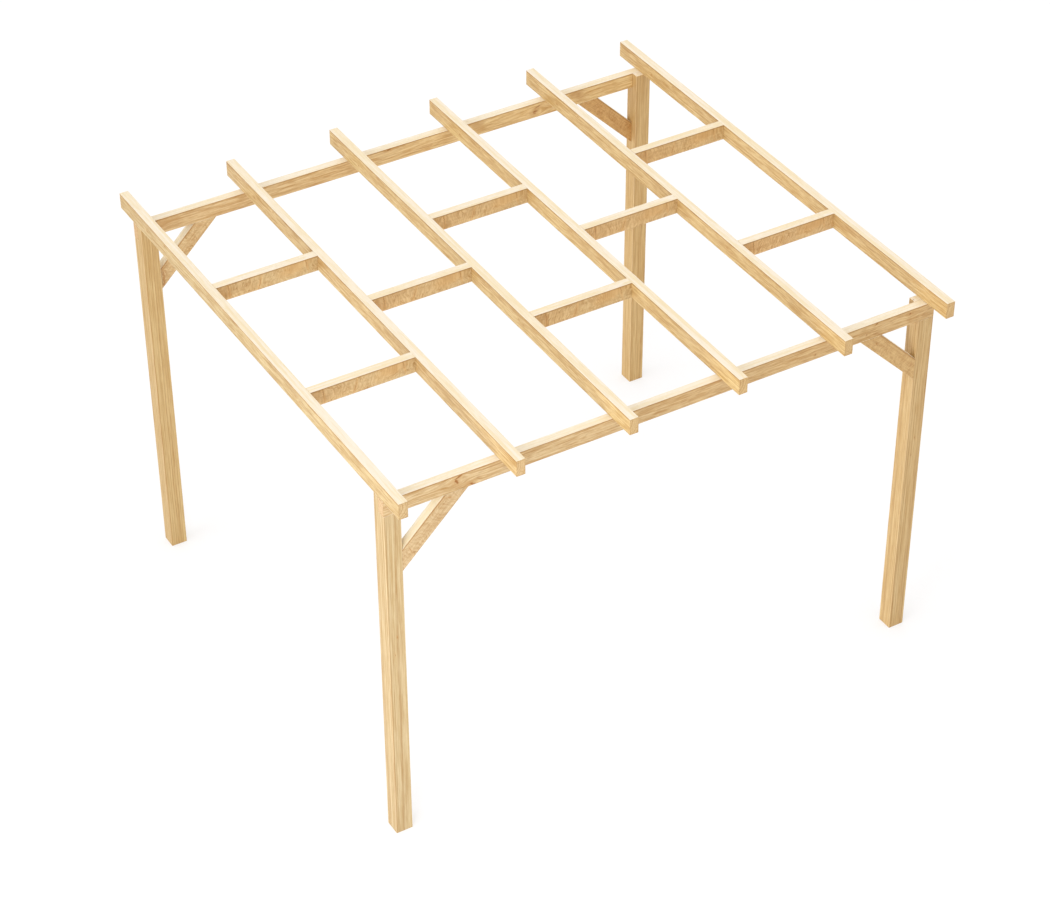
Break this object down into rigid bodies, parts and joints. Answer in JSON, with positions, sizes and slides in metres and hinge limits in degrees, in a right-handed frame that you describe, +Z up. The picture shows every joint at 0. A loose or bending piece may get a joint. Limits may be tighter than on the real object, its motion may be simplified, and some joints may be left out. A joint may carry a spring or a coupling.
{
  "type": "wooden pergola",
  "caption": "Free-standing open timber pergola: square posts, housed beams, overhanging rafters with staggered noggings, and knee braces.",
  "frame": {"origin": "on the ground, at the middle of the plan", "axes": "+X along the beams to the right, +Y along the rafters from front to back, +Z up"},
  "size_m": [3.11, 3.01, 2.195],
  "materials": {
    "post_timber": "planed softwood, straight grain, matte",
    "beam_timber": "planed softwood, flowing grain, matte",
    "brace_timber": "planed softwood, flowing grain, matte",
    "rafter_timber": "planed softwood, straight grain, matte",
    "nogging_timber": "planed softwood, flowing grain, matte"
  },
  "bodies": {
    "root": {"post_front_left": "post_timber", "post_front_right": "post_timber", "post_back_left": "post_timber", "post_back_right": "post_timber", "beam_front": "beam_timber", "beam_back": "beam_timber", "brace_front_left": "brace_timber", "brace_front_right": "brace_timber", "brace_back_left": "brace_timber", "brace_back_right": "brace_timber", "rafter_1": "rafter_timber", "rafter_2": "rafter_timber", "rafter_3": "rafter_timber", "rafter_4": "rafter_timber", "rafter_5": "rafter_timber", "rafter_6": "rafter_timber", "nogging_bay_1_front": "nogging_timber", "nogging_bay_1_back": "nogging_timber", "nogging_bay_2": "nogging_timber", "nogging_bay_3_front": "nogging_timber", "nogging_bay_3_back": "nogging_timber", "nogging_bay_4": "nogging_timber", "nogging_bay_5_front": "nogging_timber", "nogging_bay_5_back": "nogging_timber"}
  },
  "joints": []
}
